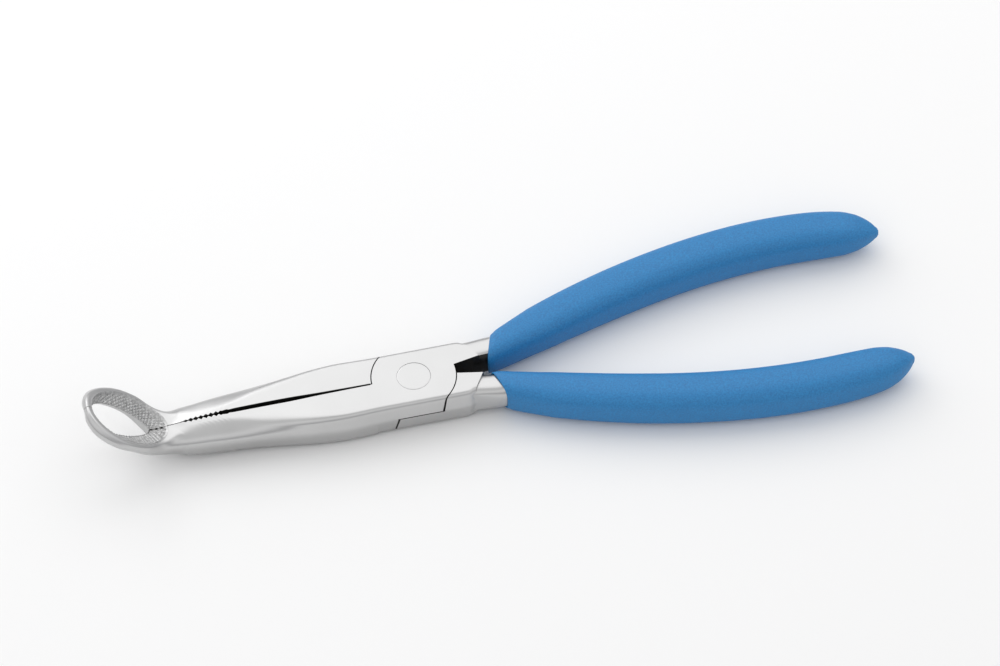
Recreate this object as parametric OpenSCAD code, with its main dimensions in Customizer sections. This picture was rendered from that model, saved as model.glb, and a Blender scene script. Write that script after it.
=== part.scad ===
// Long nose pliers with an angled oval gripping ring at the tips, lying flat and closed.
// +X runs from the pivot to the ring, +Z along the pivot axis. The origin is on the pivot
// axis at the head's back face. The front lever carries the +Y jaw and the -Y handle.

/* [Head] */
// Thickness of the head from back face to front face
head_t = 9; // [8:0.1:10.5]
// Half width of the head at its two flat faces
head_face_w = 8.1; // [7.6:0.1:8.6]
// Half width of the head at the parting plane, where the drafted sides meet
head_mid_w = 8.8; // [8.7:0.1:9.4]
// Radius of the two lap discs
disc_r = 10.2; // [9.8:0.1:10.6]
// Distance from the pivot to the rear shoulders of the head
shoulder_x = 13.2; // [12:0.1:14]

/* [Rivet] */
// Radius of the rivet's shank
shank_r = 3.2; // [2.6:0.1:3.4]
// Radius of the rivet's flush countersunk ends
rivet_head_r = 4.1; // [3.8:0.1:4.6]
// Depth of each countersink
countersink = 1.4; // [0.8:0.1:1.6]

/* [Jaws and ring] */
// Angle of the ring's plane above the head's faces
ring_tilt = 38; // [30:1:45]
// Half length of the ring's mouth, along the tool
ring_a = 11; // [9:0.1:12]
// Half width of the ring's mouth
ring_b = 7.7; // [6.5:0.1:9]
// Thickness of the ring's rim at its top
rim_t = 1.7; // [1.4:0.1:2.4]
// Depth of the ring's band
ring_h = 3; // [2.8:0.1:4]

/* [Handles] */
// Distance from the pivot to the handle tips
handle_len = 119.2; // [110:0.1:125]
// Distance of the front lever's handle tip from the middle of the tool
front_tip_y = 20.4; // [17:0.1:24]
// Distance of the rear lever's handle tip from the middle of the tool
rear_tip_y = 18.9; // [17:0.1:24]
// Thickness of the dipped coat
coat_t = 1.6; // [1.2:0.1:1.8]

/* [Fits] */
// Radial clearance between the rivet and the front lever
running = 0.05; // [0.02:0.01:0.1]
// Gap between the two lap faces at the parting plane
lap_gap = 0.1; // [0.06:0.01:0.2]
// Gap around the edge of each lap disc
arc_gap = 0.28; // [0.2:0.01:0.4]

/* [Hidden] */
$fn = 96;
eps = 0.01;
mid = head_t / 2;
reach = 60; // Longer than any cut needs to be
jaw_root = 12; // Where the jaws begin and the head's bar ends

// Bend: the jaws lie flat up to bend_s, then turn up on bend_r to the ring's plane
bend_s = 59;
bend_r = 10;
bend_len = bend_r * ring_tilt * PI / 180;
bend_z = 7.6;
flat_end_x = bend_s + bend_r * sin(ring_tilt);
flat_end_z = bend_z + bend_r * (1 - cos(ring_tilt));
ring_s = 71.6;
neck_s = 57;

// The opening inside the dished ring: smaller than the mouth and nearer the tip
hole_shift = 1.6;
hole_a = 8.7;
hole_b = 4.3;
hole_n = -2;
hole_egg = 0.3;
// How far the outside of the band tucks in below its rim, by the angle from the tip
tuck = [[0, 1.3], [20, 0.3], [45, -0.5], [70, -0.1], [95, 0.7], [130, 0.8], [180, 0]];

// Half width, inner relief, top and bottom of the jaws along the flattened tool
outer_w = [[8, 8.8], [18, 9.2], [27, 8.7], [37, 7.4], [47, 6.2], [54, 5.5], [59, 5.5], [62, 6.6],
    [65, 8], [68, 9], [ring_s, ring_b + rim_t]];
half_gap = [[8, 0.15], [22, 0.3], [32, 0.55], [44, 0.55], [50, 0.2], [54, 0.06], [90, 0.06]];
top_n = [[8, 1.4], [35, 1.4], [48, 1.2], [57, 0.5], [61, 0], [90, 0]];
bottom_n = [[8, -7.6], [25, -7.6], [40, -7.5], [50, -7.4], [56, -7], [61, -4.9], [65, -3.3],
    [ring_s, 0.2 - ring_h], [90, -ring_h]];
corner = [[8, 0.7], [27, 0.8], [40, 1.6], [52, 2.2], [60, 1.6], [66, 0.9], [90, 0.7]];

function lerp(a, b, t) = a + (b - a) * t;

// Place of a point given along the flattened tool (s), across it (y) and above it (n)
function bent(s, y, n) =
    s <= bend_s ? [s, y, bend_z + n]
    : s >= bend_s + bend_len ? [
        flat_end_x + (s - bend_s - bend_len) * cos(ring_tilt) - n * sin(ring_tilt),
        y,
        flat_end_z + (s - bend_s - bend_len) * sin(ring_tilt) + n * cos(ring_tilt)]
    : bent_arc((s - bend_s) / bend_r * 180 / PI, y, n);
function bent_arc(turn, y, n) = [
    bend_s + (bend_r - n) * sin(turn),
    y,
    bend_z + bend_r - (bend_r - n) * cos(turn)];

// One point of an oval about the ring's centre, kept clear of the other jaw; egg widens the
// tip's end
function oval(phi, a, b, shift = 0, egg = 0) = [
    ring_s + shift + a * cos(phi),
    max(lookup(ring_s + a * cos(phi), half_gap), b * sin(phi) * (1 + egg * cos(phi)))];

// Outer edge of the ring: joins the jaw's outer edge before the widest point
function rim(phi, inset) = phi <= 90
    ? oval(phi, ring_a + rim_t + 0.4 - inset, ring_b + rim_t - inset)
    : [lerp(ring_s, neck_s, -cos(phi)), lookup(lerp(ring_s, neck_s, -cos(phi)), outer_w) - inset];

// Closed outline across the half ring at the angle phi, 0 at the tip and 180 at the heel
function ring_section(phi) = let(
    c = lookup(rim(phi, 0)[0], corner),
    top = lookup(rim(phi, 0)[0], top_n),
    low = lookup(rim(phi, 0)[0], bottom_n),
    mouth = oval(phi, ring_a, ring_b),
    hole = oval(phi, hole_a, hole_b, hole_shift, hole_egg),
    under = oval(phi, hole_a + 0.4, hole_b + 0.4, hole_shift, hole_egg),
    in = lookup(phi, tuck))
    [[mouth, 0], [rim(phi, c), top], [rim(phi, c * 0.3), top - c * 0.3], [rim(phi, 0), top - c],
    [rim(phi, 0.5 * in), lerp(top, low, 0.6)], [rim(phi, 0.4 * c + in), low + 0.6 * c],
    [rim(phi, 1.2 * c + in), low], [under, lookup(under[0], bottom_n)], [hole, hole_n]];

// The same outline back along the jaw: u is 0 at the root and 1 at the heel
function jaw_section(u) = let(
    heel = ring_section(180),
    si = lerp(jaw_root, heel[0][0][0], u),
    so = lerp(jaw_root, heel[3][0][0], u),
    su = lerp(jaw_root, heel[7][0][0], u),
    sh = lerp(jaw_root, heel[8][0][0], u),
    c = lookup(so, corner),
    w = lookup(so, outer_w),
    top = lookup(so, top_n),
    low = lookup(so, bottom_n),
    draft = head_mid_w - head_face_w)
    [[[si, lookup(si, half_gap)], lookup(si, top_n)], [[so, w - c - draft * (1 - u)], top],
    [[so, w - c * 0.3 - draft * (1 - u)], top - c * 0.3],
    [[so, w - draft * 0.8 * (1 - u)], top - c],
    [[so, w], lerp(top, low, lerp(0.5, 0.6, u))],
    [[so, w - 0.4 * c - draft * 0.8 * (1 - u)], low + 0.6 * c],
    [[so, w - 1.2 * c - draft * (1 - u)], low],
    [[su, lookup(su, half_gap)], lookup(su, bottom_n)],
    [[sh, lookup(sh, half_gap)], lerp(lerp(top, low, 0.5), hole_n, u)]];

function place(section) = [for (p = section) bent(p[0][0], p[0][1], p[1])];

// Solid through a list of outlines with the same number of points
module loft(rings) {
    count = len(rings[0]);
    last = len(rings) - 1;
    sides = [for (i = [0:last - 1], j = [0:count - 1]) let(k = (j + 1) % count)
        each [[i * count + j, i * count + k, (i + 1) * count + j],
            [i * count + k, (i + 1) * count + k, (i + 1) * count + j]]];
    ends = [[for (j = [count - 1:-1:0]) j], [for (j = [0:count - 1]) last * count + j]];
    polyhedron([for (r = rings) each r], concat(sides, ends), convexity = 8);
}

// One jaw with its half of the ring, on the +Y side
module jaw() {
    stations = 14;
    turns = 20;
    loft(concat(
        [for (i = [0:stations - 1]) place(jaw_section(i / stations))],
        [for (i = [0:turns]) place(ring_section(180 - 180 * i / turns))]));
}

// Bar with drafted sides that the head's pieces are cut from
module head_bar(x0, x1) {
    edge = 0.6;
    translate([x0, 0, 0])
        rotate([90, 0, 90])
            linear_extrude(x1 - x0)
                polygon([
                    [-head_face_w + edge, 0], [head_face_w - edge, 0], [head_face_w, edge],
                    [head_mid_w, mid], [head_face_w, head_t - edge],
                    [head_face_w - edge, head_t], [-head_face_w + edge, head_t],
                    [-head_face_w, head_t - edge], [-head_mid_w, mid], [-head_face_w, edge]]);
}

// Handle centre line, a cubic curve from the head to the tip, on the -Y side. The front
// lever's handle is bowed a little more than the rear lever's.
coat_start = [-20.1, -5.9];
front_curve = [coat_start, [-55, -19.5], [-88, -28.3], [-handle_len, -front_tip_y]];
rear_curve = [coat_start, [-55, -18.7], [-88, -25.6], [-handle_len, -rear_tip_y]];
function along(pts, t) = let(q = 1 - t)
    q * q * q * pts[0] + 3 * q * q * t * pts[1] + 3 * q * t * t * pts[2] + t * t * t * pts[3];
function heading(pts, t) = let(
    d = along(pts, t + 0.002) - along(pts, t - 0.002))
    d / norm(d);

// Half width and half height of the coat along the handle
coat_w = [[0, 4.6], [0.1, 5], [0.22, 5.5], [0.35, 5.7], [0.6, 5.75], [0.8, 5.6], [0.9, 5.1],
    [0.95, 3.9], [0.98, 2.4], [1, 0.7]];
coat_h = [[0, 4.3], [0.1, 4.6], [0.22, 5.05], [0.35, 5.25], [0.6, 5.3], [0.8, 5.1], [0.9, 4.6],
    [0.95, 3.6], [0.98, 2.3], [1, 0.6]];
// The coat's edge at the head leans away from the pivot towards the outside
edge_lean = 0.55;

// Rounded outline across the handle; inset makes the steel core inside the coat
function oblong(pts, t, inset) = let(
    c = along(pts, t),
    h = heading(pts, t),
    lean = edge_lean * max(0, 1 - t / 0.12),
    side = [h[1], -h[0]],
    w = lookup(t, coat_w) - inset,
    z = lookup(t, coat_h) - inset,
    soft = 0.8)
    [for (i = [0:sides - 1]) let(
        a = 360 * i / sides,
        u = w * sign(cos(a)) * pow(abs(cos(a)), soft),
        v = z * sign(sin(a)) * pow(abs(sin(a)), soft))
        [c[0] + side[0] * u + lean * u, c[1] + side[1] * u, mid + v]];

sides = 16;
coat_steps = [0, 0.03, 0.07, 0.12, 0.18, 0.25, 0.33, 0.41, 0.5, 0.58, 0.66, 0.74, 0.81, 0.87,
    0.92, 0.95, 0.97, 0.985, 0.995, 1];
core_steps = [for (t = coat_steps) if (t < 0.95) t];

// Steel handle from the head's shoulder to its end inside the coat, on the -Y side
module tang(pts) {
    root = oblong(pts, 0, coat_t * 0.5);
    loft(concat(
        [[for (p = root) [
            -shoulder_x + 1.5,
            max(0.1 - head_face_w, min(-2, (p[1] - coat_start[1]) * 1.1 - 5.1)),
            mid + (p[2] - mid) * 1.1]]],
        [for (t = core_steps) oblong(pts, t, coat_t)]));
}

// One jaw with the full-thickness root that joins it to the head, on the +Y side
module jaw_and_root() {
    intersection() {
        head_bar(0, jaw_root + eps);
        translate([0, lookup(jaw_root, half_gap), -1])
            cube([reach, reach, head_t + 2]);
    }
    jaw();
}

// Front lap disc with the -Y handle behind it
module disc_and_handle(pts) {
    intersection() {
        head_bar(-disc_r - 1, disc_r + 1);
        translate([0, 0, mid + lap_gap / 2])
            cylinder(r = disc_r, h = mid);
    }
    difference() {
        union() {
            intersection() {
                head_bar(-shoulder_x, 0);
                tang_side();
            }
            intersection() {
                head_bar(-shoulder_x - 4, -shoulder_x + eps);
                shoulder_facet();
            }
            tang(pts);
        }
        lap_pocket();
    }
}

// Room for the other lever's disc in the back half of the head
module lap_pocket() {
    translate([0, 0, -1])
        cylinder(r = disc_r + arc_gap, h = 1 + mid + lap_gap / 2);
}

// Plan of the handle's root: its inner edge leaves a wedge-shaped gap between the handles
module tang_side() {
    linear_extrude(head_t)
        polygon([[0, -1.4], [-disc_r, -1.4], [-shoulder_x, -2], [-shoulder_x, -reach], [0, -reach]]);
}

// Plan of the raised patch behind the shoulder, cut off by a slanting facet
module shoulder_facet() {
    linear_extrude(head_t)
        polygon([[-shoulder_x + 1, -1.9], [-shoulder_x - 3.4, -2.6], [-shoulder_x, -head_face_w],
            [-shoulder_x + 1, -head_face_w]]);
}

module turned_over() {
    translate([0, 0, head_t])
        rotate([180, 0, 0])
            children();
}

// Rivet with two flush countersunk ends, grown by a clearance for the hole it turns in
module rivet_shape(clear) {
    end = clear > 0 ? 1 : 0;
    translate([0, 0, -end])
        cylinder(r = shank_r + clear, h = head_t + 2 * end);
    cone_at_front(clear);
    turned_over()
        cone_at_front(clear);
}
module cone_at_front(clear) {
    translate([0, 0, head_t - countersink])
        cylinder(r1 = shank_r + clear, r2 = rivet_head_r + clear, h = countersink);
}

module front_lever() {
    color("gainsboro")
        difference() {
            union() {
                disc_and_handle(front_curve);
                difference() {
                    jaw_and_root();
                    lap_pocket();
                }
            }
            rivet_shape(running);
        }
}

module rear_lever() {
    color("silver")
        difference() {
            union() {
                turned_over()
                    disc_and_handle(rear_curve);
                difference() {
                    mirror([0, 1, 0])
                        jaw_and_root();
                    turned_over()
                        lap_pocket();
                }
            }
            rivet_shape(0);
        }
}

module pivot_rivet() {
    color("lightgray")
        rivet_shape(0);
}

// Dipped coat around one handle, closed at the tip: one skin that runs out along the inside
// to the head's end and back along the outside to the tip
module grip(pts) {
    loft(concat(
        [for (i = [len(core_steps) - 1:-1:0]) oblong(pts, core_steps[i], coat_t)],
        [for (t = coat_steps) oblong(pts, t, 0)]));
}

module front_grip() {
    color("steelblue")
        grip(front_curve);
}

module rear_grip() {
    color("dodgerblue")
        mirror([0, 1, 0])
            grip(rear_curve);
}

front_lever();
rear_lever();
pivot_rivet();
front_grip();
rear_grip();
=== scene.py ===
"""Ring-jaw long nose pliers: detailed levers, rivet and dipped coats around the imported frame.

Sizes are in millimetres up to the point where a mesh is made. The floor, lamps and camera are
placed in metres.
"""
import math
import bmesh
import bpy
import numpy as np
from mathutils import Matrix, Vector


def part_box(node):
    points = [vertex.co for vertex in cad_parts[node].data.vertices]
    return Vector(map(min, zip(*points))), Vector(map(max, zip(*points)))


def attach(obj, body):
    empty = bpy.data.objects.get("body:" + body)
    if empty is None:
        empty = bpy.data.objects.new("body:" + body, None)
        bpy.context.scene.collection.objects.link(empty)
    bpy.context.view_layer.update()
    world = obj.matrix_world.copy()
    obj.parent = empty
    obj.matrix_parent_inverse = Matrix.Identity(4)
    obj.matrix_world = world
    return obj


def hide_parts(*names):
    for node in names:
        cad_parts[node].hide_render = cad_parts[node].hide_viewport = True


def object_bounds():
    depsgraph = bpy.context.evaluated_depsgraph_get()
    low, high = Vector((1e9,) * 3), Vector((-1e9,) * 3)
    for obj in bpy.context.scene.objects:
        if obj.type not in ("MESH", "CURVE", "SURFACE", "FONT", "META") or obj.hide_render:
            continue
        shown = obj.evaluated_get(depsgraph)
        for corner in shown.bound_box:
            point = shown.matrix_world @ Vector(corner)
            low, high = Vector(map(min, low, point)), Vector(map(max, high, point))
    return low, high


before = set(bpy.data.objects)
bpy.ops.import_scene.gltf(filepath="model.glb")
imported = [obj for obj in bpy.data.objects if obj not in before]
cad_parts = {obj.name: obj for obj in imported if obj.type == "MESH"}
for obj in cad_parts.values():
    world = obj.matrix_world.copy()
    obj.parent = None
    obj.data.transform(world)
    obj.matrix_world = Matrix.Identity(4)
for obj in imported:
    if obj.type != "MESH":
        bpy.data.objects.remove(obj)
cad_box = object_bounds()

MM = 0.001

# ---------------------------------------------------------------- driving sizes, from the frame
rivet_low, rivet_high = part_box("pivot_rivet")
HEAD_T = (rivet_high[2] - rivet_low[2]) / MM
MID = HEAD_T / 2
RIVET_R = (rivet_high[0] - rivet_low[0]) / 2 / MM
HANDLE_LEN = -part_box("front_grip")[0][0] / MM

# ---------------------------------------------------------------- lap joint and coats
DISC_R = 10.2
ARC_GAP = 0.28
LAP_GAP = 0.3
RIVET_GAP = 0.03
SHOULDER_X = 13.2
LAP_FRONT_X = 11.6
LAP_BACK_X = -34
FACET_LEAN = 1.0
COAT_T = 1.6

# ---------------------------------------------------------------- flattened jaw and its bend
RING_TILT = math.radians(38)
BEND_S = 59
BEND_R = 10
BEND_Z = 7.6
BEND_LEN = BEND_R * RING_TILT
RING_S = 71.6
RING_A = 11.0
RING_B = 7.7
RIM_T = 1.7
RIM_TIP = 0.4
NECK_S = 57
HOLE_SHIFT = 1.6
HOLE_A = 8.7
HOLE_B = 4.3
HOLE_N = -2
HOLE_EGG = 0.3
JAW_ROOT = 10.7

# Tables over the distance s from the pivot along the flattened tool. Heights n are measured
# from the ring's top plane. The head runs from -18 and the ring's widest point is at 71.6.
OUTER_W = [(-18, 7.4), (-13.3, 8.2), (-12.2, 8.75), (-11, 8.8), (8, 8.8), (18, 9.2), (27, 8.7),
           (37, 7.8), (47, 7.0), (54, 6.3), (59, 5.9), (62, 6.6), (65, 8.0), (68, 9.0), (71.6, 9.4)]
FACE_W = [(-18, 6.7), (-13.3, 7.5), (-12.2, 8.05), (-11, 8.1), (8, 8.1), (18, 8.35), (24, 8.0),
          (30, 7.0), (38, 4.9), (44, 3.0), (48, 2.4), (52, 2.3), (57, 3.0), (62, 5.2), (68, 8.3),
          (71.6, 8.8)]
TOP_N = [(-18, 1.4), (35, 1.4), (48, 1.2), (57, 0.5), (61, 0), (90, 0)]
BOTTOM_N = [(-18, -7.6), (25, -7.6), (40, -7.5), (50, -7.35), (55, -6.9), (59, -6.0), (62, -5.0),
            (66, -3.7), (71.6, -2.9), (90, -2.9)]
# The shoulder's way out from the face to the full width, and its drop, as shares
SHOULDER_OUT = [(-18, 0.58), (24, 0.58), (38, 0.85), (47, 0.92), (56, 0.88), (67, 0.58)]
SHOULDER_DROP = [(-18, 0.29), (24, 0.29), (38, 0.2), (47, 0.19), (56, 0.2), (66, 0.29)]
# How far the shoulder between face and side swells out of the straight line, as a share
SWELL = [(-18, 0), (24, 0), (34, 0.1), (44, 0.12), (57, 0.12), (63, 0.3), (71.6, 0.35)]
# How far the outer edge of the top face drops as the face turns into a bevel
FALL = [(-18, 0), (30, 0), (38, 0.05), (45, 0.1), (52, 0.2), (57, 0.25), (62, 0.15), (66, 0)]
# Half the slit between the jaws
HALF_GAP = [(8, 0.17), (22, 0.32), (32, 0.58), (44, 0.55), (48, 0.2), (54, 0.08), (90, 0.06)]
# How far each corner's rounding reaches along its edges
TOP_ROUND = [(-18, 1.1), (18, 1.2), (27, 2.0), (36, 3), (44, 4), (57, 4), (64, 0.9), (90, 0.7)]
LOW_ROUND = [(-18, 0.4), (18, 0.5), (30, 1.2), (45, 2.2), (57, 2.2), (64, 1.2), (90, 0.9)]
SIDE_ROUND = [(-18, 0.5), (18, 0.8), (30, 1.8), (45, 2.2), (57, 1.8), (64, 1.0), (90, 0.9)]
# How far the band's underside lies inside its rim, by the angle from the ring's tip
TUCK = [(0, 1.3), (20, 0.3), (45, -0.5), (70, -0.1), (95, 0.7), (130, 0.8), (180, 0)]

TOOTH_PITCH = 1.25
TOOTH_DEPTH = 0.62
TOOTH_ZONE = (45.5, 57.6)
KNURL_PITCH = 0.95
KNURL_DEPTH = 0.2
KNURL_SLOPE = 0.75
KNURL_START = 0.28


def smooth_table(table, x):
    """Monotone cubic through the table's points, level beyond its ends."""
    xs = np.array([p[0] for p in table], float)
    ys = np.array([p[1] for p in table], float)
    step = np.diff(xs)
    slope = np.diff(ys) / step
    tangent = np.zeros(len(xs))
    for i in range(1, len(xs) - 1):
        if slope[i - 1] * slope[i] > 0:
            w1 = 2 * step[i] + step[i - 1]
            w2 = step[i] + 2 * step[i - 1]
            tangent[i] = (w1 + w2) / (w1 / slope[i - 1] + w2 / slope[i])
    x = np.clip(np.asarray(x, float), xs[0], xs[-1])
    k = np.clip(np.searchsorted(xs, x, side="right") - 1, 0, len(xs) - 2)
    t = (x - xs[k]) / step[k]
    h00 = 2 * t ** 3 - 3 * t ** 2 + 1
    h10 = t ** 3 - 2 * t ** 2 + t
    h01 = -2 * t ** 3 + 3 * t ** 2
    h11 = t ** 3 - t ** 2
    return h00 * ys[k] + h10 * step[k] * tangent[k] + h01 * ys[k + 1] + h11 * step[k] * tangent[k + 1]


def bent(p):
    """Flattened (s, y, n) points to (x, y, z): flat jaws, an arc, then the ring's plane."""
    s, y, n = p[..., 0], p[..., 1], p[..., 2]
    turn = np.clip((s - BEND_S) / BEND_R, 0, RING_TILT)
    past = np.maximum(s - BEND_S - BEND_LEN, 0)
    x = np.minimum(s, BEND_S) + (BEND_R - n) * np.sin(turn) + past * math.cos(RING_TILT)
    z = BEND_Z + BEND_R - (BEND_R - n) * np.cos(turn) + past * math.sin(RING_TILT)
    return np.stack([x, y, z], axis=-1)


def half_gap(s):
    """Distance of a jaw's inner face from the middle, with the short toothed stretch."""
    base = smooth_table(HALF_GAP, s)
    wave = np.abs(((s / TOOTH_PITCH) % 1) * 2 - 1)
    inside = np.clip((s - TOOTH_ZONE[0]) / 0.8, 0, 1) * np.clip((TOOTH_ZONE[1] - s) / 3, 0, 1)
    return base + TOOTH_DEPTH * wave * inside


def oval(phi, a, b, shift=0.0, egg=0.0):
    """Ring curve in the flattened plane; phi is 0 at the tip and pi at the heel."""
    s = RING_S + shift + a * np.cos(phi)
    y = b * np.sin(phi) * (1 + egg * np.cos(phi))
    return s, np.maximum(y, smooth_table(HALF_GAP, s))


def rim(phi, inset):
    """Outer edge of the ring, which runs into the jaw's outer edge behind the widest point."""
    front = oval(phi, RING_A + RIM_T + RIM_TIP - inset, RING_B + RIM_T - inset)
    s_back = RING_S + (RING_S - NECK_S) * np.cos(phi)
    back = s_back, smooth_table(OUTER_W, s_back) - inset
    ahead = phi <= math.pi / 2
    return np.where(ahead, front[0], back[0]), np.where(ahead, front[1], back[1])


def ring_corners(phi):
    """Corners of the band's section for each phi: mouth, rim, shoulder, side, under, in, hole."""
    s_out = rim(phi, 0)[0]
    low = smooth_table(BOTTOM_N, s_out)
    top = smooth_table(TOP_N, s_out)
    tuck = smooth_table(TUCK, np.degrees(phi))
    face = np.where(phi > math.pi / 2, smooth_table(OUTER_W, s_out) - smooth_table(FACE_W, s_out), 0.55)
    mouth = oval(phi, RING_A, RING_B)
    top_edge = rim(phi, np.maximum(face, 0.45))
    side = rim(phi, 0.45 * tuck - 0.05)
    under = rim(phi, tuck + 0.5)
    inside = oval(phi, HOLE_A + 0.4, HOLE_B + 0.4, HOLE_SHIFT, HOLE_EGG)
    hole = oval(phi, HOLE_A, HOLE_B, HOLE_SHIFT, HOLE_EGG)
    zero = np.zeros_like(phi)
    swell = smooth_table(SWELL, s_out)
    out = smooth_table(SHOULDER_OUT, s_out)
    drop = smooth_table(SHOULDER_DROP, s_out)
    shoulder = [top_edge[i] + (side[i] - top_edge[i]) * out for i in range(2)]
    shoulder = [shoulder[i] + (side[i] - shoulder[i]) * swell for i in range(2)]
    rows = [(*mouth, zero), (*top_edge, top - smooth_table(FALL, s_out)),
            (*shoulder, top + (low - top) * drop),
            (*side, (top + low) * 0.5), (*under, low),
            (*inside, smooth_table(BOTTOM_N, inside[0])), (*hole, zero + HOLE_N)]
    return np.stack([np.stack(r, axis=-1) for r in rows], axis=1)


def jaw_corners(s):
    """The same seven corners along the jaw, drawn out towards the ring's first section."""
    heel = ring_corners(np.array([math.pi]))[0]
    u = (s - JAW_ROOT) / (NECK_S - JAW_ROOT)
    at = [JAW_ROOT + (heel[k, 0] - JAW_ROOT) * u for k in range(7)]
    so = at[3]
    width = smooth_table(OUTER_W, so)
    face = smooth_table(FACE_W, so)
    top = smooth_table(TOP_N, so)
    low = smooth_table(BOTTOM_N, so)
    low_w = width - (width - face) * 0.62 * (1 - u) - 0.6 * u
    middle = smooth_table(TOP_N, at[6]) * 0.5 + smooth_table(BOTTOM_N, at[6]) * 0.5
    swell = smooth_table(SWELL, so)
    shoulder = face + (width - face) * smooth_table(SHOULDER_OUT, so)
    drop = smooth_table(SHOULDER_DROP, so)
    shoulder = shoulder + (width - shoulder) * swell
    fall = smooth_table(FALL, so)
    mouth_y = half_gap(at[0])
    plain_y = smooth_table(HALF_GAP, at[0])
    mouth_n = smooth_table(TOP_N, at[0]) - fall * (mouth_y - plain_y) / (face - plain_y)
    rows = [(at[0], mouth_y, mouth_n), (so, face, top - fall), (so, shoulder, top + (low - top) * drop),
            (so, width, (top + low) / 2), (so, low_w, low),
            (at[5], half_gap(at[5]), smooth_table(BOTTOM_N, at[5])),
            (at[6], half_gap(at[6]), middle * (1 - u) + HOLE_N * u)]
    return np.stack([np.stack(r, axis=-1) for r in rows], axis=1)


def head_corners(s):
    """The head's section: the jaw's outer side and, plainer, its mirror image."""
    face = smooth_table(FACE_W, s)
    width = smooth_table(OUTER_W, s)
    top = smooth_table(TOP_N, s)
    low = smooth_table(BOTTOM_N, s)
    shoulder = face + (width - face) * smooth_table(SHOULDER_OUT, s)
    drop = smooth_table(SHOULDER_DROP, s)
    rows = [(s, -face, top), (s, face, top), (s, shoulder, top + (low - top) * drop),
            (s, width, (top + low) / 2), (s, face, low),
            (s, -face, low), (s, -width, (top + low) / 2)]
    return np.stack([np.stack(r, axis=-1) for r in rows], axis=1)


def round_sections(corners, rounds, edge_counts, arc_count):
    """Each closed section with its corners rounded: points, and the edge that each belongs to."""
    count = corners.shape[1]
    points, owner = [], []
    starts, ends = [], []
    for k in range(count):
        p, a, b = corners[:, k], corners[:, k - 1], corners[:, (k + 1) % count]
        for other, store in ((a, starts), (b, ends)):
            gap = np.linalg.norm(other - p, axis=1)
            reach = np.minimum(rounds[:, k], 0.47 * gap) / np.maximum(gap, 1e-6)
            store.append(p + (other - p) * reach[:, None])
    for k in range(count):
        for t in np.linspace(0, 1, arc_count):
            points.append(starts[k] * (1 - t) ** 2 + corners[:, k] * 2 * t * (1 - t) + ends[k] * t ** 2)
            owner.append(k if t > 0.5 else (k - 1) % count)
        after = starts[(k + 1) % count]
        for t in np.linspace(0, 1, edge_counts[k] + 2)[1:-1]:
            points.append(ends[k] * (1 - t) + after * t)
            owner.append(k)
    return np.stack(points, axis=1), owner


def knurl(sections, owner, phi):
    """Diamond relief pressed into the ring's inner wall, fading out at the tip."""
    wall = [i for i, k in enumerate(owner) if k == 6]
    core = wall[2:-2]
    middle = sections[:, core[len(core) // 2]]
    along = np.concatenate([[0], np.cumsum(np.linalg.norm(np.diff(middle, axis=0), axis=1))])
    across = np.zeros((len(sections), len(core)))
    hop = np.linalg.norm(np.diff(sections[:, core], axis=1), axis=2)
    across[:, 1:] = np.cumsum(hop, axis=1)
    one = np.abs(np.sin(math.pi * (along[:, None] + KNURL_SLOPE * across) / KNURL_PITCH))
    two = np.abs(np.sin(math.pi * (along[:, None] - KNURL_SLOPE * across) / KNURL_PITCH))
    relief = np.minimum(one, two) ** 0.8
    fade = np.clip((phi - KNURL_START) / 0.12, 0, 1)[:, None]
    width = across[:, -1:]
    fade = fade * np.clip(across / 0.3, 0, 1) * np.clip((width - across) / 0.3, 0, 1)
    along_dir = np.gradient(sections[:, core], axis=0)
    across_dir = np.gradient(sections[:, core], axis=1)
    normal = np.cross(along_dir, across_dir)
    normal /= np.maximum(np.linalg.norm(normal, axis=2, keepdims=True), 1e-9)
    sections[:, core] += normal * ((1 - relief) * -KNURL_DEPTH * fade)[..., None]
    return sections


def link_mesh(name, mesh, kinds, materials=()):
    """New object in the scene from a mesh, with its faces' material indices and materials."""
    mesh.polygons.foreach_set("material_index", kinds)
    mesh.update()
    obj = bpy.data.objects.new(name, mesh)
    bpy.context.scene.collection.objects.link(obj)
    for mat in materials:
        mesh.materials.append(mat)
    return obj


def skin(name, rings, face_kind=None, mirror=False, materials=()):
    """Closed mesh through the rings of points; face_kind gives the material index by column."""
    rings = np.array(rings)
    if mirror:
        rings = rings * np.array([1, -1, 1])
    rows, cols = rings.shape[:2]
    verts = rings.reshape(-1, 3) * MM
    faces, kinds = [], []
    for i in range(rows - 1):
        for j in range(cols):
            k = (j + 1) % cols
            quad = (i * cols + j, i * cols + k, (i + 1) * cols + k, (i + 1) * cols + j)
            faces.append(quad[::-1] if mirror else quad)
            kinds.append(face_kind(i, j) if face_kind else 0)
    first = tuple(range(cols))
    last = tuple((rows - 1) * cols + j for j in range(cols))
    faces.append(first if mirror else first[::-1])
    faces.append(last[::-1] if mirror else last)
    kinds += [0, 0]
    mesh = bpy.data.meshes.new(name)
    mesh.from_pydata(verts.tolist(), [], faces)
    return link_mesh(name, mesh, kinds, materials)


def prism(name, outline, levels, material=1):
    """Prism over a plan outline through the levels (z, shift along x); cuts the lap joint."""
    count = len(outline)
    last = (len(levels) - 1) * count
    verts = [((x + shift) * MM, y * MM, z * MM) for z, shift in levels for x, y in outline]
    faces = [tuple(range(count))[::-1], tuple(range(last, last + count))]
    for i in range(0, last, count):
        faces += [(i + j, i + (j + 1) % count, i + count + (j + 1) % count, i + count + j)
                  for j in range(count)]
    mesh = bpy.data.meshes.new(name)
    mesh.from_pydata(verts, [], faces)
    # Material 1 is the dark steel with painted gap shade; the boolean passes it on to the faces that
    # the tool cuts.
    obj = link_mesh(name, mesh, [material] * len(faces), (chrome, steel_and_gap_shade, knurled))
    bm = bmesh.new()
    bm.from_mesh(mesh)
    bmesh.ops.recalc_face_normals(bm, faces=bm.faces)
    bm.to_mesh(mesh)
    bm.free()
    return obj


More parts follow.
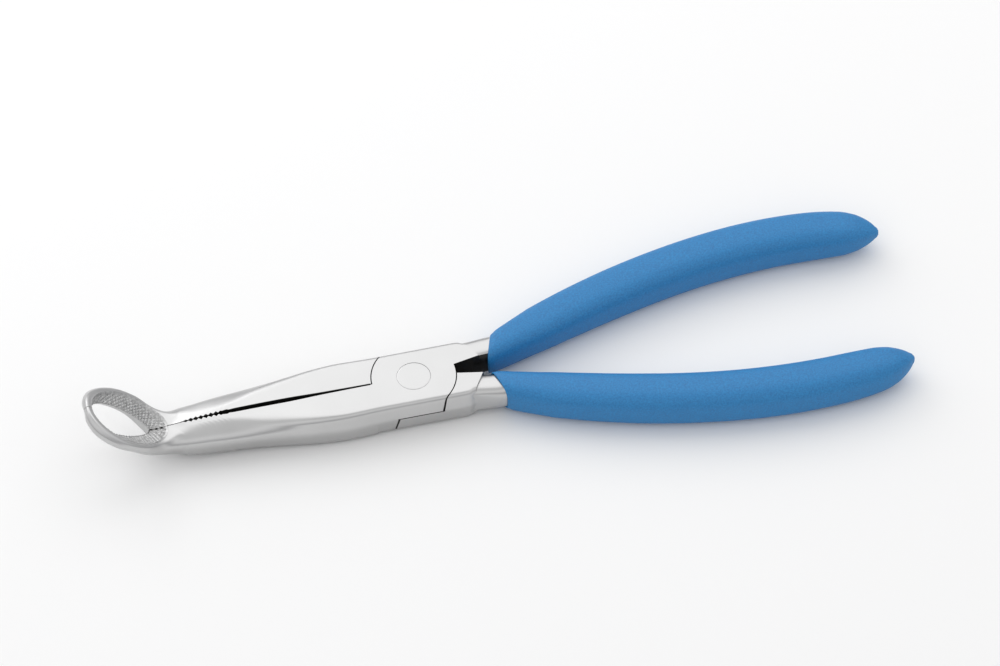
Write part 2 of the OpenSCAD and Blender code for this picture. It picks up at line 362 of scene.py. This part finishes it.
def arc(radius, start, end, count):
    """Points on a circle about the pivot, from one angle in degrees to another."""
    turn = np.radians(np.linspace(start, end, count))
    return [(radius * math.cos(t), radius * math.sin(t)) for t in turn]


def solve(target, tool, operation):
    """Applies one exact boolean and removes the tool."""
    mod = target.modifiers.new("cut", "BOOLEAN")
    mod.operation = operation
    mod.solver = "EXACT"
    mod.object = tool
    mod.material_mode = "INDEX"
    depsgraph = bpy.context.evaluated_depsgraph_get()
    result = bpy.data.meshes.new_from_object(target.evaluated_get(depsgraph))
    target.modifiers.clear()
    old = target.data
    target.data = result
    bpy.data.meshes.remove(old)
    bpy.data.objects.remove(tool)


# ---------------------------------------------------------------- handles
COAT_START = np.array([-20.1, -5.9])
FRONT_CURVE = np.array([COAT_START, (-55, -19.5), (-88, -28.3), (-HANDLE_LEN, -20.4)])
REAR_CURVE = np.array([COAT_START + (0, 0.3), (-55, -18.7), (-88, -25.6), (-HANDLE_LEN, -18.9)])
COAT_W = [(0, 4.5), (0.012, 4.8), (0.1, 5.05), (0.22, 5.5), (0.35, 5.7), (0.6, 5.75), (0.8, 5.6),
          (0.9, 5.1), (0.94, 4.25), (0.965, 3.2), (0.985, 1.95), (0.992, 1.35), (0.997, 0.95), (1, 0.5)]
COAT_H = [(0, 4.3), (0.012, 4.55), (0.1, 4.75), (0.22, 5.05), (0.35, 5.25), (0.6, 5.3), (0.8, 5.1),
          (0.9, 4.65), (0.94, 3.95), (0.965, 3.0), (0.985, 1.85), (0.992, 1.3), (0.997, 0.95), (1, 0.5)]
EDGE_LEAN = 0.65
# The steel inside a coat: how deep it lies, and how square its section is
CORE_INSET = COAT_T * 0.45
CORE_POWER = 0.62
BORE_INSET = CORE_INSET + 0.02
BORE_POWER = 0.66


def along(pts, t):
    """Point at t on the cubic curve through a handle's middle."""
    q = 1 - t
    return q ** 3 * pts[0] + 3 * q * q * t * pts[1] + 3 * q * t * t * pts[2] + t ** 3 * pts[3]


def oblong(pts, t, inset, count, power=0.72):
    """Rounded outline across the handle at t, lying in the plane across its centre line."""
    c = along(pts, t)
    ahead = along(pts, min(t + 0.002, 1)) - along(pts, max(t - 0.002, 0))
    ahead = ahead / np.linalg.norm(ahead)
    side = np.array([ahead[1], -ahead[0]])
    lean = EDGE_LEAN * max(0, 1 - t / 0.12)
    w = smooth_table(COAT_W, t) - inset
    h = smooth_table(COAT_H, t) - inset
    ring = []
    for a in np.linspace(0, 2 * math.pi, count, endpoint=False):
        ca, sa = math.cos(a), math.sin(a)
        u = w * math.copysign(abs(ca) ** power, ca)
        v = h * math.copysign(abs(sa) ** power, sa)
        x, y = c + side * u
        ring.append((x + lean * u, y, MID + v))
    return ring


def make_tang(name, pts, mirror):
    """Steel handle root, from inside the head to inside the coat."""
    columns = 48
    rings = []
    base = oblong(pts, 0, CORE_INSET, columns, CORE_POWER)
    for q in np.linspace(0, 1, 10):
        blend = q * q * (3 - 2 * q)
        ring = []
        for x, y, z in base:
            root_y = max(-7.9, min(-2.3, y - COAT_START[1] - 5.15))
            root = (-SHOULDER_X + 1.5, root_y, MID + (z - MID) * 1.12)
            end = (x, y, z)
            ring.append(tuple(root[i] * (1 - (q if i == 0 else blend))
                              + end[i] * (q if i == 0 else blend) for i in range(3)))
        rings.append(ring)
    for t in np.linspace(0, 0.12, 14)[1:]:
        rings.append(oblong(pts, t, CORE_INSET + 0.25 * min(1, t / 0.03), columns, CORE_POWER))

    # Columns facing the other handle take the dark steel, painted shade for the gap between the
    # handles; the rest is chrome.
    def kind(i, j):
        return 1 if j <= 7 or j >= 40 else 0

    return skin(name, rings, kind, mirror, (chrome, steel_and_gap_shade, knurled))


def make_lever(name, pts, mirror):
    """One forging: head and jaw skin with its ring, cut for the lap joint, joined to its tang."""
    head_s = np.concatenate([np.arange(-18, 10.4, 0.6), [10.55]])
    jaw_s = np.concatenate([[JAW_ROOT], np.arange(11, 45, 0.5), np.arange(45, 56.9, 0.125)])
    phi = np.linspace(math.pi, 0, 340)
    corners = np.concatenate([head_corners(head_s), jaw_corners(jaw_s), ring_corners(phi)])
    jaw_from = len(head_s)
    ring_from = jaw_from + len(jaw_s)
    out_s = corners[:, 3, 0]
    level = np.ones(len(out_s))
    mouth_round = np.where(np.arange(len(out_s)) >= ring_from, 0.3, 0.12)
    rounds = np.stack([mouth_round, smooth_table(TOP_ROUND, out_s), smooth_table(TOP_ROUND, out_s),
                       smooth_table(SIDE_ROUND, out_s), smooth_table(LOW_ROUND, out_s),
                       level * 0.27, level * 0.32], axis=1)
    head = slice(0, jaw_from)
    rounds[head, 0] = rounds[head, 1]
    rounds[head, 5] = rounds[head, 4]
    rounds[head, 6] = rounds[head, 3]
    sections, owner = round_sections(corners, rounds, [6, 3, 3, 5, 6, 3, 36], 8)
    placed = bent(sections)
    placed[ring_from:] = knurl(placed[ring_from:], owner, phi)

    def kind(i, j):
        """Dark steel with painted shade on the jaw's inner face, knurl on the ring's inner wall, chrome
        elsewhere.
        """
        if i < jaw_from or owner[j] < 5:
            return 0
        if i < ring_from:
            return 1
        return 2 if owner[j] == 6 and phi[i - ring_from] > 0.3 else 0

    lever = skin(name, placed, kind, mirror, (chrome, steel_and_gap_shade, knurled))
    cut_lap(lever, mirror)
    solve(lever, make_tang(name + "_tang", pts, mirror), "UNION")
    cut_rivet_hole(lever)
    shade(lever)
    return lever


def cut_lap(lever, mirror):
    """Takes away the room that the other lever and the handles' gap need."""
    gap = 0.15
    far = 25
    tang_line = [(LAP_BACK_X, -3.6), (-SHOULDER_X - 3.6, -2.7), (-SHOULDER_X, -2.0)]
    in_r = DISC_R + ARC_GAP
    lean = math.degrees(math.asin(1.4 / DISC_R))
    jaw_front = [(LAP_FRONT_X, -far), (LAP_FRONT_X, gap)]
    jaw_side = arc(DISC_R, 0.8, -66, 60) + [(3, -far)] + jaw_front
    tang_side = arc(DISC_R, 180 + lean, 110, 60) + [(-3, far), (LAP_BACK_X, far)] + tang_line
    lower = (arc(in_r, 0.8, 66, 60) + [(3, far), (LAP_BACK_X, far)] + tang_line
             + arc(in_r, 180 + lean, 246, 60) + [(-3, -far)] + jaw_front)
    facet = [(-SHOULDER_X + 0.3, -far), (-SHOULDER_X + 0.1, -8.3), (-SHOULDER_X - 3.4, -2.5),
             (-SHOULDER_X - 4.2, 0), (LAP_BACK_X, 0), (LAP_BACK_X, -far)]
    over, under = HEAD_T + 3, -3
    slope = FACET_LEAN / MID
    tools = [(jaw_side, [(MID - 0.01, 0), (over, 0)]), (tang_side, [(MID - 0.01, 0), (over, 0)]),
             (lower, [(under, 0), (MID + LAP_GAP / 2, 0)]),
             (facet, [(under, 3 * slope), (MID, -FACET_LEAN), (over, 3 * slope)])]
    for i, (outline, levels) in enumerate(tools):
        # The cut walls take the dark steel, painted shade in the lap joint's gaps; the facet's cut
        # stays chrome.
        material = 0 if outline is facet else 1
        if mirror:
            outline = [(x, -y) for x, y in outline][::-1]
            levels = [(HEAD_T - z, shift) for z, shift in reversed(levels)]
        solve(lever, prism("tool_%d" % i, outline, levels, material), "DIFFERENCE")


def cut_rivet_hole(lever):
    """Bores the lever for the rivet, straight through."""
    hole = prism("hole", arc(RIVET_R + RIVET_GAP, 0, 357, 120), [(-3, 0), (HEAD_T + 3, 0)])
    solve(lever, hole, "DIFFERENCE")


def shade(obj, angle=28):
    """Smooth shading, with edges sharper than the angle kept crisp."""
    mesh = obj.data
    mesh.polygons.foreach_set("use_smooth", [True] * len(mesh.polygons))
    mesh.set_sharp_from_angle(angle=math.radians(angle))
    mesh.update()


def make_rivet():
    """Flush rivet with faintly crowned, softly broken ends."""
    crown, edge = 0.02, 0.1
    half = [(0.15, MID + crown), (2.4, MID + crown), (RIVET_R - 0.3, MID), (RIVET_R - edge, MID - 0.01),
            (RIVET_R - 0.03, MID - edge * 0.4), (RIVET_R, MID - edge)]
    profile = half + [(r, -z) for r, z in reversed(half)]
    turns = 128
    rings = [[(r * math.cos(a), r * math.sin(a), MID + z) for a in
              np.linspace(0, 2 * math.pi, turns, endpoint=False)] for r, z in reversed(profile)]
    rivet = skin("rivet_flush", rings)
    shade(rivet, 40)
    return rivet


def make_coat(name, pts, mirror):
    """Dipped coat: outside from the tip to a rolled edge, then inside along the steel."""
    count = 72
    lip = 0.5
    outside = np.concatenate([np.linspace(0, 0.03, 10), np.linspace(0.04, 0.88, 110),
                              np.linspace(0.885, 0.99, 34), np.linspace(0.991, 1, 12)])
    inner = [oblong(pts, t, BORE_INSET, count, BORE_POWER) for t in np.linspace(0.1, 0.0, 8)]
    rolled = []
    for q in (0.25, 0.5, 0.75):
        a = oblong(pts, 0, BORE_INSET, count, BORE_POWER)
        b = oblong(pts, 0, 0, count)
        push = lip * math.sin(math.pi * q) * 0.6
        rolled.append([(x0 * (1 - q) + x1 * q + push, y0 * (1 - q) + y1 * q, z0 * (1 - q) + z1 * q)
                       for (x0, y0, z0), (x1, y1, z1) in zip(a, b)])
    outer = [oblong(pts, t, 0, count) for t in outside]
    coat = skin(name, inner + rolled + outer, mirror=mirror)
    shade(coat, 60)
    return coat


# ---------------------------------------------------------------- materials
def new_material(name, color, metallic, roughness):
    """Material with its nodes, links and shader at hand."""
    mat = bpy.data.materials.new(name)
    mat.use_nodes = True
    nodes = mat.node_tree.nodes
    shader = nodes["Principled BSDF"]
    shader.inputs["Base Color"].default_value = (*color, 1)
    shader.inputs["Metallic"].default_value = metallic
    shader.inputs["Roughness"].default_value = roughness
    return mat, nodes, mat.node_tree.links, shader


def add_noise(nodes, links, scale, detail=4.0, stretch=(1, 1, 1)):
    """Noise in the object's own space."""
    where = nodes.new("ShaderNodeTexCoord")
    place = nodes.new("ShaderNodeMapping")
    place.inputs["Scale"].default_value = stretch
    noise = nodes.new("ShaderNodeTexNoise")
    noise.inputs["Scale"].default_value = scale
    noise.inputs["Detail"].default_value = detail
    links.new(where.outputs["Object"], place.inputs["Vector"])
    links.new(place.outputs["Vector"], noise.inputs["Vector"])
    return noise


def ranged(nodes, links, source, low, high):
    """Noise spread over the range from low to high."""
    spread = nodes.new("ShaderNodeMapRange")
    spread.inputs["From Min"].default_value = 0.3
    spread.inputs["From Max"].default_value = 0.7
    spread.inputs["To Min"].default_value = low
    spread.inputs["To Max"].default_value = high
    links.new(source, spread.inputs["Value"])
    return spread.outputs["Result"]


def bump(nodes, links, shader, height, strength, distance):
    """Fine relief on the shader's normal."""
    node = nodes.new("ShaderNodeBump")
    node.inputs["Strength"].default_value = strength
    node.inputs["Distance"].default_value = distance
    links.new(height, node.inputs["Height"])
    links.new(node.outputs["Normal"], shader.inputs["Normal"])


def mix_colors(nodes, links, shader, factor, dark, light):
    """Base colour between dark and light, by the factor."""
    ramp = nodes.new("ShaderNodeValToRGB")
    ramp.color_ramp.elements[0].position = 0.3
    ramp.color_ramp.elements[0].color = (*dark, 1)
    ramp.color_ramp.elements[1].position = 0.7
    ramp.color_ramp.elements[1].color = (*light, 1)
    links.new(factor, ramp.inputs["Fac"])
    links.new(ramp.outputs["Color"], shader.inputs["Base Color"])


def chrome_material():
    mat, nodes, links, shader = new_material("polished_chrome", (0.55, 0.55, 0.55), 1.0, 0.3)
    cloud = add_noise(nodes, links, 60, 3)
    lines = add_noise(nodes, links, 900, 2, (0.06, 1, 1))
    links.new(ranged(nodes, links, cloud.outputs["Fac"], 0.27, 0.33), shader.inputs["Roughness"])
    mix_colors(nodes, links, shader, cloud.outputs["Fac"], (0.53, 0.53, 0.53), (0.57, 0.57, 0.57))
    bump(nodes, links, shader, lines.outputs["Fac"], 0.05, 0.00002)
    return mat


def steel_and_gap_shade_material():
    # Near-black unplated steel for the faces inside the gaps between the levers, the jaws and the
    # handles, made darker still as painted shade for these gaps; the noise only varies its tone and
    # roughness.
    mat, nodes, links, shader = new_material("unplated_steel_painted_gap_shade", (0.02, 0.02, 0.02), 0.6, 0.5)
    shade_noise = add_noise(nodes, links, 700, 4)
    mix_colors(nodes, links, shader, shade_noise.outputs["Fac"], (0.008, 0.008, 0.008), (0.03, 0.028, 0.026))
    links.new(ranged(nodes, links, shade_noise.outputs["Fac"], 0.4, 0.65), shader.inputs["Roughness"])
    return mat


def knurl_material():
    mat, nodes, links, shader = new_material("plated_knurl", (0.6, 0.6, 0.6), 0.9, 0.36)
    pits = add_noise(nodes, links, 1500, 3)
    mix_colors(nodes, links, shader, pits.outputs["Fac"], (0.32, 0.32, 0.32), (0.56, 0.56, 0.56))
    bump(nodes, links, shader, pits.outputs["Fac"], 0.35, 0.00004)
    return mat


def vinyl_material():
    mat, nodes, links, shader = new_material("dipped_vinyl", (0.045, 0.215, 0.52), 0.0, 0.5)
    grain = add_noise(nodes, links, 2600, 3)
    mix_colors(nodes, links, shader, grain.outputs["Fac"], (0.01, 0.15, 0.39), (0.022, 0.235, 0.53))
    links.new(ranged(nodes, links, grain.outputs["Fac"], 0.42, 0.6), shader.inputs["Roughness"])
    bump(nodes, links, shader, grain.outputs["Fac"], 0.5, 0.00008)
    return mat


def floor_material():
    mat, nodes, links, shader = new_material("pale_floor", (0.9, 0.9, 0.9), 0.0, 0.9)
    cloud = add_noise(nodes, links, 3, 2)
    mix_colors(nodes, links, shader, cloud.outputs["Fac"], (0.895, 0.895, 0.895), (0.905, 0.905, 0.905))
    return mat


# ---------------------------------------------------------------- assembly
chrome = chrome_material()
steel_and_gap_shade = steel_and_gap_shade_material()
knurled = knurl_material()
vinyl = vinyl_material()

SIDES = (("front", FRONT_CURVE, False), ("rear", REAR_CURVE, True))

for body, pts, mirror in SIDES:
    node = body + "_lever"
    lever = make_lever(node + "_forging", pts, mirror)
    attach(lever, body)
    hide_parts(node)

rivet = make_rivet()
rivet.data.materials.append(chrome)
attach(rivet, "rear")
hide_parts("pivot_rivet")

for body, pts, mirror in SIDES:
    node = body + "_grip"
    coat = make_coat(node + "_coat", pts, mirror)
    coat.data.materials.append(vinyl)
    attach(coat, body)
    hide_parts(node)

# ---------------------------------------------------------------- floor, light and camera
FLOOR_HALF = 3
floor_z = cad_box[0][2]
floor_corners = [(-FLOOR_HALF, -FLOOR_HALF, floor_z), (FLOOR_HALF, -FLOOR_HALF, floor_z),
                 (FLOOR_HALF, FLOOR_HALF, floor_z), (-FLOOR_HALF, FLOOR_HALF, floor_z)]
floor_mesh = bpy.data.meshes.new("floor")
floor_mesh.from_pydata(floor_corners, [], [(0, 1, 2, 3)])
floor = link_mesh("floor", floor_mesh, [0], (floor_material(),))

# Sky brightness by height: dim at the horizon, bright above, a little dimmer straight up
SKY_LOW = [(0.05, (0.4, 0.4, 0.41, 1)), (0.7, (1, 1, 1, 1))]
SKY_HIGH = [(0.86, (1, 1, 1, 1)), (1.0, (0.7, 0.7, 0.7, 1))]
world = bpy.data.worlds.new("studio")
world.use_nodes = True
sky_nodes = world.node_tree.nodes
sky_links = world.node_tree.links
sky = sky_nodes["Background"]
sky.inputs["Strength"].default_value = 0.98
sky_way = sky_nodes.new("ShaderNodeTexCoord")
sky_parts = sky_nodes.new("ShaderNodeSeparateXYZ")
sky_ramp = sky_nodes.new("ShaderNodeValToRGB")
for stop, (height, color) in zip(sky_ramp.color_ramp.elements, SKY_LOW):
    stop.position = height
    stop.color = color
for height, color in SKY_HIGH:
    sky_ramp.color_ramp.elements.new(height).color = color
sky_links.new(sky_way.outputs["Generated"], sky_parts.inputs["Vector"])
sky_links.new(sky_parts.outputs["Z"], sky_ramp.inputs["Fac"])
sky_links.new(sky_ramp.outputs["Color"], sky.inputs["Color"])
bpy.context.scene.world = world


def area_light(name, place, target, size, power):
    """Soft rectangular lamp that faces the target."""
    data = bpy.data.lights.new(name, "AREA")
    data.shape = "RECTANGLE"
    data.size, data.size_y = size
    data.energy = power
    lamp = bpy.data.objects.new(name, data)
    lamp.location = place
    lamp.rotation_euler = (Vector(place) - Vector(target)).to_track_quat("Z", "Y").to_euler()
    bpy.context.scene.collection.objects.link(lamp)


middle = (-0.02, 0, 0)
area_light("key_behind", (-0.09, -0.55, 0.71), middle, (1.4, 0.9), 2.3)
area_light("rim_left", (0.5, -0.68, 0.42), middle, (1.1, 0.6), 2.2)

# The camera's own axes in the part's frame: back towards the viewer, right and up. It stands far
# away behind a long lens, because the view is close to a parallel one.
back = Vector((0.1022, 0.6049, 0.7897)).normalized()
right = Vector((-0.9778, 0.2071, -0.0321))
right = (right - back * right.dot(back)).normalized()
up = back.cross(right)
DISTANCE = 4.53
AIM_RIGHT = 0.02082
AIM_UP = 0.01039
camera_data = bpy.data.cameras.new("camera")
camera_data.lens = 676
camera_data.sensor_width = 36
camera_data.clip_start = 0.1
camera = bpy.data.objects.new("camera", camera_data)
aim = Vector((0, 0, HEAD_T * MM)) + right * AIM_RIGHT + up * AIM_UP
turn = Matrix((right, up, back)).transposed().to_4x4()
camera.matrix_world = Matrix.Translation(aim + back * DISTANCE) @ turn
bpy.context.scene.collection.objects.link(camera)
bpy.context.scene.camera = camera
bpy.context.scene.view_settings.view_transform = "Standard"
